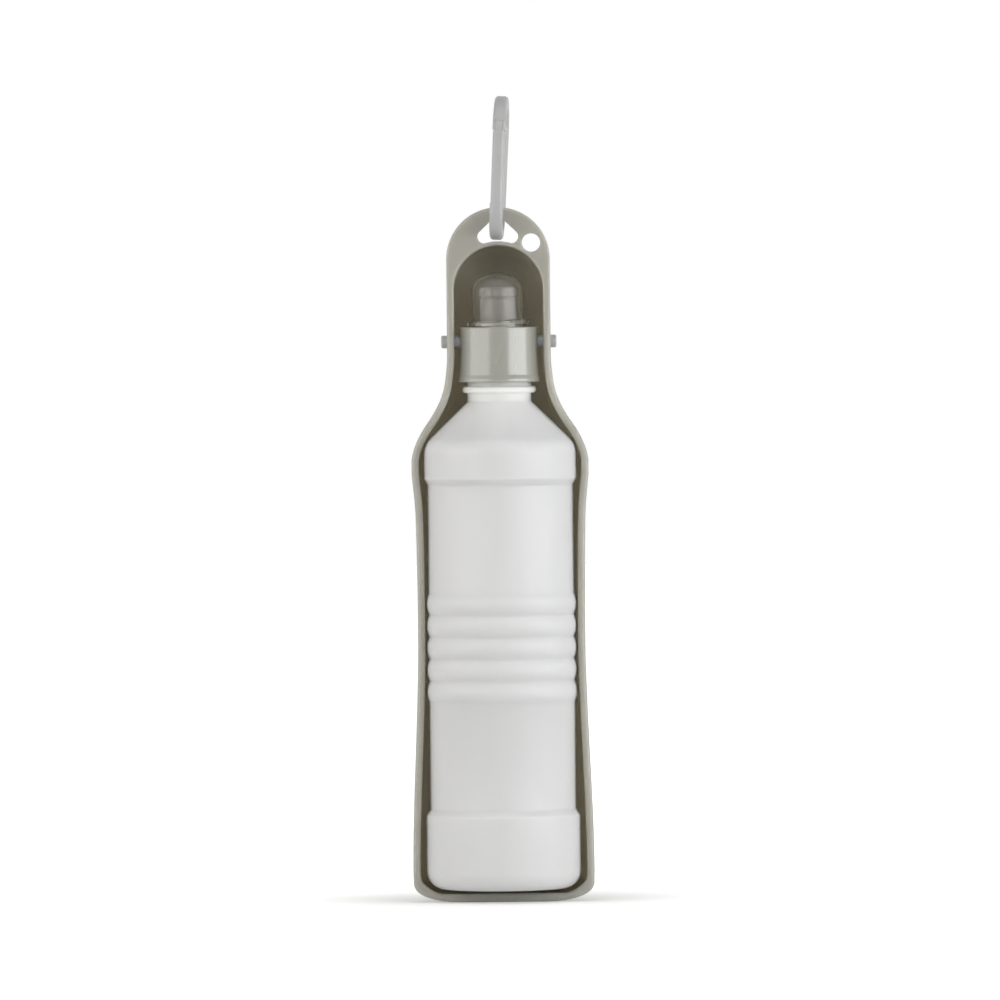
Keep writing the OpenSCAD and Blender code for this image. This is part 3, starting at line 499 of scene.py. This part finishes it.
# Heights of the skin's level lines up the side, closer where it draws in, and angles round the top's quarter
straight = [12 + 5 * k for k in range(32)] + [172 + 1.6 * k for k in range(29)]
neck_up, tab_up, quarter = (219.5, 223, 228, 233), (221, 227, 234, 242), range(0, 91, 5)


def up_the_side(grow):
    """The opening's right edge from its corner to its top, or the shell's behind it, as (half width, z)."""
    points = [(side_at(z) + grow, z) for z in [*straight, *neck_up]]
    return points + [((pocket_r + grow) * math.cos(math.radians(a)),
                      pocket_z + (pocket_r + grow) * math.sin(math.radians(a))) for a in quarter]


def up_the_rim():
    """The rim's outer edge beside it, point for point."""
    points = []
    for z in straight:
        lean = math.atan(side_at(z + 0.5) - side_at(z - 0.5))
        points.append((side_at(z) + rim_w * math.cos(lean), z - rim_w * math.sin(lean)))
    points += [(tab_r, z) for z in tab_up]
    return points + [(tab_r * math.cos(math.radians(a)), tab_z + tab_r * math.sin(math.radians(a)))
                     for a in quarter]


def lip_top(x):
    """Height of the lip along the standing wall. It rises to the corners, round the bottle's base."""
    return lip_h + lip_rise * max(0, abs(x) - lip_flat) ** 2


def level_line(w, z, grow, start):
    """One level line of the trough's skin, from its middle at the back round to its right front edge."""
    deep = depth_at(z, grow)
    turn = max(deep - w, front + 1)
    arc = [(w * math.cos(math.radians(a)), turn + (deep - turn) * math.sin(math.radians(a)), z)
           for a in range(90, -1, -5)]
    return arc + [(w, turn + (start - turn) * k / 6, z) for k in range(1, 7)]


def rim_section(inner, outer, back):
    """The rim's section at one station, from the inside over its front face to its back. It is rounded
    fully up the sides, and less along the standing end."""
    (ix, iz), (ox, oz), (bx, bz) = inner, outer, back
    across = Vector((ox - ix, oz - iz))
    width = across.length
    across.normalize()
    inner_r, outer_r, steps = min(rim_rounds[0], width / 2), min(rim_rounds[1], width / 2.1), 6
    if oz < 0.5:
        inner_r, outer_r = foot_rounds
    line = [(inner_r * (1 - math.cos(t)), front + inner_r * (1 - math.sin(t)))
            for t in (math.pi / 2 * k / steps for k in range(steps + 1))]
    line.append(((inner_r + width - outer_r) / 2, front))
    line += [(width - outer_r * (1 - math.sin(t)), front + outer_r * (1 - math.cos(t)))
             for t in (math.pi / 2 * k / steps for k in range(steps + 1))]
    line += [(width, front + rim_t - 0.4), (width - 0.12, front + rim_t - 0.12), (width - 0.4, front + rim_t)]
    points = [(ix + across.x * u, y, iz + across.y * u) for u, y in line]
    points.append((bx + (ox - bx) * 0.25, front + rim_t, bz + (oz - bz) * 0.25))
    return points + [(bx, front + rim_t + 0.5, bz)]


mesh = bmesh.new()
opening = opening_end() + up_the_side(0)
shell = round_end(base_half + shell_t, shell_sweep_top) + up_the_side(shell_t)
rim_edge = round_end(base_half + rim_w, rim_sweep_top) + up_the_rim()
rows = []
for (w, z), (shell_w, shell_z), outer in zip(opening, shell, rim_edge):
    raised = max(0, lip_top(w) - z) if z < 2 * foot_t + corner_in / 2 else 0
    lip = [(w, lip_back + 0.1, z + 0.15 * raised), (w, lip_back - 0.1, z + 0.85 * raised),
           (w, lip_back - 0.4, z + raised)]
    rows.append(level_line(w, z, 0, lip_back + 0.3) + lip
                + rim_section((w, z + raised), outer, (shell_w, shell_z))
                + level_line(shell_w, shell_z, shell_t, front + rim_t + 0.5)[-2::-1])
grid = [[mesh.verts.new(p) for p in row] for row in rows]
for low, high in zip(grid, grid[1:]):
    for k in range(len(low) - 1):
        mesh.faces.new([low[k], low[k + 1], high[k + 1], high[k]])
mirrored = bmesh.ops.duplicate(mesh, geom=mesh.verts[:] + mesh.edges[:] + mesh.faces[:])["geom"]
bmesh.ops.scale(mesh, vec=(-1, 1, 1), verts=[part for part in mirrored if isinstance(part, bmesh.types.BMVert)])
bmesh.ops.remove_doubles(mesh, verts=mesh.verts, dist=0.002)
bmesh.ops.dissolve_degenerate(mesh, edges=mesh.edges, dist=0.0005)
trough = made("trough_shell", mesh, trough_plastic)


def prism(loop, low, high, flare=0.0, axis="Y"):
    """A tool with a closed outline, standing along Y or lying along X, that may flare out at both ends."""
    count = len(loop)
    wider = []
    for k, (u, v) in enumerate(loop):
        along = Vector(loop[(k + 1) % count]) - Vector(loop[k - 1])
        out = Vector((along.y, -along.x)).normalized()
        wider.append((u + out.x * (flare + 1), v + out.y * (flare + 1)))
    rings = [(loop, low), (loop, high)]
    if flare:
        rings = [(wider, low - 1), (loop, low + flare), (loop, high - flare), (wider, high + 1)]
    tool = bmesh.new()
    skinned(tool, [[(u, at, v) if axis == "Y" else (at, u, v) for u, v in ring] for ring, at in rings])
    return made("tool", tool, trough_plastic)


def carved(piece, *steps):
    """Joins tools to a piece or cuts them out of it, one after another, and puts the tools away."""
    for operation, tool in steps:
        change = piece.modifiers.new("carve", "BOOLEAN")
        change.operation, change.solver, change.object = operation, "EXACT", tool
    bpy.context.view_layer.update()
    data = bpy.data.meshes.new_from_object(piece.evaluated_get(bpy.context.evaluated_depsgraph_get()))
    piece.modifiers.clear()
    piece.data = data
    smoothed(piece, 35)
    for _, tool in steps:
        bpy.data.objects.remove(tool)


def slot_loop():
    """The clip's slot seen from the front: a triangle with rounded corners over the pocket's arc."""
    low_r, half_w, corner, top_r, strip = 18.95, 7.95, 2.6, 1.6, 3.4
    cx = half_w - corner
    cz = pocket_z + math.sqrt(low_r ** 2 - cx ** 2) + corner
    tz = tab_z + tab_r - strip - top_r
    lean = math.atan2(tz - cz, cx)
    face = math.pi - lean - math.acos((corner - top_r) / math.hypot(tz - cz, cx))
    arc = math.asin(cx / low_r)
    low = [(low_r * math.sin(arc * k / 4), pocket_z + low_r * math.cos(arc * k / 4)) for k in range(-4, 5) if k]
    right = [(cx + corner * math.sin(t), cz - corner * math.cos(t)) for t in
             (0.25 + (math.pi - face - 0.25) * k / 10 for k in range(11))]
    top = [(top_r * math.sin(face * k / 4), tz + top_r * math.cos(face * k / 4)) for k in range(4, -5, -1) if k]
    return low + right + top + [(-x, z) for x, z in right[::-1]]


def circle(u, v, r, count=64):
    """A round outline. It starts half a step round, so that no point lies on the seam of what it cuts."""
    turns = [2 * math.pi * (k + 0.5) / count for k in range(count)]
    return [(u + r * math.cos(t), v + r * math.sin(t)) for t in turns]


boss_mesh = bmesh.new()
for side in (-1, 1):
    turned(boss_mesh, eased([(boss_bore, boss_root, 0), (boss_r, boss_root, 0), (boss_r, boss_face, 0.5),
                             (boss_bore, boss_face, 0)]),
           sideways(side, pivot_z), sides=64)
carved(trough, ("UNION", made("bosses", boss_mesh, trough_plastic)),
       ("DIFFERENCE", prism(slot_loop(), front, front + rim_t, edge_round)),
       ("DIFFERENCE", prism(circle(lanyard_x, lanyard_z, lanyard_r), front, front + rim_t, edge_round)),
       ("DIFFERENCE", prism(circle(0, pivot_z, pin_hole_r), -24, -16, axis="X")),
       ("DIFFERENCE", prism(circle(0, pivot_z, pin_hole_r), 16, 24, axis="X")))
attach(trough, "tray")
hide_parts("tray")

# ---- Clip -------------------------------------------------------------------------------------------
# Carabiner in light grey nylon, stood up in the tab's slot, with broad rounded edges. Its gate turns on a
# steel pin between two cheeks, and closes against the nose with a small lip behind it.
clip_t, clip_bar, gate_t, clip_round = 5.2, 4.5, 4.7, 1.4
near_r, far_r, clip_len = 11.0, 13.5, 31.5
nose_z, nose_step, lip_low, seam_gap, gate_slope = 3.2, 2.05, 2.2, 0.08, 0.2518
tongue_low, tongue_back = 3, 1.85
pin_y, pin_z, hole_r, knuckle_r, knuckle_half = -11.0165, 34.0, 0.85, 2.25, 1.45
inner_y, outer_y, middle_y = -4.25, -14.5, -8.75
clip_hold, clip_twist, clip_tilt = (0, -0.0059, 0.269015), -3, 2.8
clip_place = (Matrix.Translation(clip_hold) @ Matrix.Rotation(math.radians(clip_twist), 4, "Z")
              @ Matrix.Rotation(math.radians(clip_tilt), 4, "Y"))


def clip_ring(name, half_t):
    """The clip's closed ring in its own plane, as a bar of a half thickness with rounded edges."""
    near, far, half_bar = near_r - clip_bar / 2, far_r - clip_bar / 2, clip_bar / 2
    lean = math.asin((far - near) / clip_len)
    path = [(near * math.cos(t), near * math.sin(t)) for t in
            (math.pi + lean + (math.pi - 2 * lean) * k / 28 for k in range(29))]
    path += [(far * math.cos(t), clip_len + far * math.sin(t)) for t in
             (-lean + (math.pi + 2 * lean) * k / 36 for k in range(37))]
    rings = []
    for i, (y, z) in enumerate(path):
        along = Vector(path[(i + 1) % len(path)]) - Vector(path[i - 1])
        out = Vector((along.y, -along.x)).normalized()
        ring = []
        for x_side, n_side, start in ((1, 1, 0), (-1, 1, 90), (-1, -1, 180), (1, -1, 270)):
            for a in (math.radians(start + 15 * k) for k in range(7)):
                n = n_side * (half_bar - clip_round) + clip_round * math.sin(a)
                ring.append((x_side * (half_t - clip_round) + clip_round * math.cos(a),
                             y + out.x * n, z + out.y * n))
        rings.append(ring)
    ring_mesh = bmesh.new()
    skinned(ring_mesh, rings, closed=True)
    return made(name, ring_mesh, grey_nylon)


slot_half = knuckle_half + 0.1
cheek_low = pin_z - knuckle_r - 2 * seam_gap
clip_frame = clip_ring("clip_frame", clip_t / 2)
seat = [(inner_y + 3, cheek_low - 1), (inner_y + 3, pin_z)]
seat += [(pin_y + (knuckle_r + seam_gap) * math.cos(t), pin_z + (knuckle_r + seam_gap) * math.sin(t))
         for t in (math.pi * k / 24 for k in range(25))]
seat += [(outer_y, pin_z), (outer_y, cheek_low - 1)]
carved(clip_frame,
       ("DIFFERENCE", prism([(outer_y, nose_z), (-1, nose_z), (-1, cheek_low), (outer_y, cheek_low)],
                            -3, 3, axis="X")),
       ("DIFFERENCE", prism([(middle_y, nose_step), (inner_y, nose_step), (inner_y, nose_z + 1),
                             (middle_y, nose_z + 1)], -3, 3, axis="X")),
       ("DIFFERENCE", prism(seat, -slot_half, slot_half, axis="X")),
       ("DIFFERENCE", prism(circle(pin_y, pin_z, hole_r, 32), -3, 3, axis="X")))
clip_frame.data.transform(clip_place)
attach(clip_frame, "clip")
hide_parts("clip_body")

gate_low, gate_top, front_y = nose_z + seam_gap, cheek_low - seam_gap, pin_y - clip_bar / 2
gate_loop = [(outer_y, gate_low), (middle_y + seam_gap, gate_low), (middle_y + seam_gap, lip_low),
             (inner_y, lip_low), (inner_y, gate_top - gate_slope * (inner_y - front_y)), (front_y, gate_top),
             (outer_y, gate_top)]
tongue = [(front_y, gate_top - tongue_low), (pin_y + tongue_back, gate_top - tongue_low),
          (pin_y + tongue_back, pin_z), (front_y, pin_z)]
clip_gate = clip_ring("clip_gate_bar", gate_t / 2)
carved(clip_gate, ("INTERSECT", prism(gate_loop, -3, 3, axis="X")),
       ("UNION", prism(tongue, -knuckle_half, knuckle_half, axis="X")),
       ("UNION", prism(circle(pin_y, pin_z, knuckle_r), -knuckle_half, knuckle_half, axis="X")),
       ("DIFFERENCE", prism(circle(pin_y, pin_z, hole_r, 32), -3, 3, axis="X")))
clip_gate.data.transform(clip_place)
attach(clip_gate, "clip_gate")
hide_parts("clip_gate")

# ---- Gate pin and spring ----------------------------------------------------------------------------
# A short steel pin pressed through the cheeks, and a torsion spring of steel wire wound round it that
# holds the gate shut. Both are plain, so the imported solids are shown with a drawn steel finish.
steel = bpy.data.materials.new("drawn steel")
steel.use_nodes = True
steel_tree = steel.node_tree
steel_shader = steel_tree.nodes["Principled BSDF"]
steel_shader.inputs["Metallic"].default_value = 1.0
place = placed(steel_tree, "ShaderNodeTexCoord").outputs["Object"]
drawn = placed(steel_tree, "ShaderNodeMapping", {"Vector": place, "Scale": (80, 2600, 2600)})
streaks = placed(steel_tree, "ShaderNodeTexNoise",
                 {"Vector": drawn.outputs["Vector"], "Scale": 1.0, "Detail": 3.0})
steel_tone = placed(steel_tree, "ShaderNodeMix",
                    {0: streaks.outputs["Fac"], 6: (0.50, 0.50, 0.51, 1), 7: (0.62, 0.62, 0.63, 1)},
                    data_type="RGBA")
steel_gloss = placed(steel_tree, "ShaderNodeMapRange",
                     {"Value": streaks.outputs["Fac"], "To Min": 0.22, "To Max": 0.42})
steel_bump = placed(steel_tree, "ShaderNodeBump",
                    {"Height": streaks.outputs["Fac"], "Strength": 0.2, "Distance": 0.00001})
steel_tree.links.new(steel_tone.outputs[2], steel_shader.inputs["Base Color"])
steel_tree.links.new(steel_gloss.outputs["Result"], steel_shader.inputs["Roughness"])
steel_tree.links.new(steel_bump.outputs["Normal"], steel_shader.inputs["Normal"])
refinish("gate_pin", steel)
refinish("gate_spring", steel)

# ---- Studio -----------------------------------------------------------------------------------------
# Plain white floor and background, a large soft light at the right, a weaker one at the left and a faint
# one overhead. The floor glows white further off, and near the object it keeps its soft shadow.
floor_mesh = bmesh.new()
bmesh.ops.create_grid(floor_mesh, x_segments=2, y_segments=2, size=6000)
floor_paint = bpy.data.materials.new("white floor")
floor_paint.use_nodes = True
floor_tree = floor_paint.node_tree
floor_tree.nodes.remove(floor_tree.nodes["Principled BSDF"])


def seen_ray(tree):
    """1 for the rays that see a surface straight, in a mirror or through glass, and 0 for light that falls."""
    kinds = placed(tree, "ShaderNodeLightPath").outputs
    seen = placed(tree, "ShaderNodeMath", {0: kinds["Is Camera Ray"], 1: kinds["Is Glossy Ray"]},
                  operation="MAXIMUM").outputs[0]
    return placed(tree, "ShaderNodeMath", {0: seen, 1: kinds["Is Transmission Ray"]},
                  operation="MAXIMUM").outputs[0]


place = placed(floor_tree, "ShaderNodeTexCoord").outputs["Object"]
away = placed(floor_tree, "ShaderNodeVectorMath", {0: place}, operation="LENGTH").outputs["Value"]
glow_share = placed(floor_tree, "ShaderNodeMapRange",
                    {"Value": away, "From Min": 0.035, "From Max": 0.15, "To Min": 0.33, "To Max": 1.0})
strength = placed(floor_tree, "ShaderNodeMath", {0: glow_share.outputs["Result"], 1: seen_ray(floor_tree)},
                  operation="MULTIPLY")
paint = placed(floor_tree, "ShaderNodeBsdfDiffuse", {"Color": (0.85, 0.85, 0.845, 1)})
glow = placed(floor_tree, "ShaderNodeEmission", {"Strength": strength.outputs[0]})
both = placed(floor_tree, "ShaderNodeAddShader", {0: paint.outputs[0], 1: glow.outputs[0]})
floor_tree.links.new(both.outputs[0], floor_tree.nodes["Material Output"].inputs["Surface"])
floor = made("floor", floor_mesh, floor_paint)

world = bpy.data.worlds.new("studio")
bpy.context.scene.world = world
world.use_nodes = True
sky = world.node_tree
level = placed(sky, "ShaderNodeMapRange", {"Value": seen_ray(sky), "To Min": 0.24, "To Max": 1.0})
sky.links.new(level.outputs["Result"], sky.nodes["Background"].inputs["Strength"])
sky.nodes["Background"].inputs["Color"].default_value = (1, 1, 1, 1)


def softbox(name, where, width, height, watts, tint_colour):
    """A square area light that faces the middle of the object."""
    lamp = bpy.data.lights.new(name, "AREA")
    lamp.shape, lamp.size, lamp.size_y, lamp.energy, lamp.color = "RECTANGLE", width, height, watts, tint_colour
    light = bpy.data.objects.new(name, lamp)
    light.location = where
    light.rotation_euler = (Vector((0, 0, 0.16)) - Vector(where)).to_track_quat("-Z", "Y").to_euler()
    bpy.context.scene.collection.objects.link(light)


softbox("right softbox", (1.13, -0.72, 0.3), 1.5, 0.58, 11.5, (0.99, 0.995, 1.0))
softbox("left softbox", (-1.15, -0.68, 0.37), 1.7, 0.72, 9, (1.0, 0.985, 0.95))
softbox("overhead softbox", (0, -0.6, 1.5), 1.2, 0.9, 4.5, (1, 1, 1))

camera = bpy.data.objects.new("camera", bpy.data.cameras.new("camera"))
camera.data.lens, camera.data.sensor_width = 396.9, 36
camera.location = (-0.00014, -4.3, 0.225)
aim = (Vector((-0.00014, 0, 0.1566)) - camera.location).to_track_quat("-Z", "Y").to_matrix().to_4x4()
camera.matrix_world = Matrix.Translation(camera.location) @ aim @ Matrix.Rotation(math.radians(-0.57), 4, "Z")
bpy.context.scene.collection.objects.link(camera)
bpy.context.scene.camera = camera
bpy.context.scene.view_settings.view_transform = "Standard"
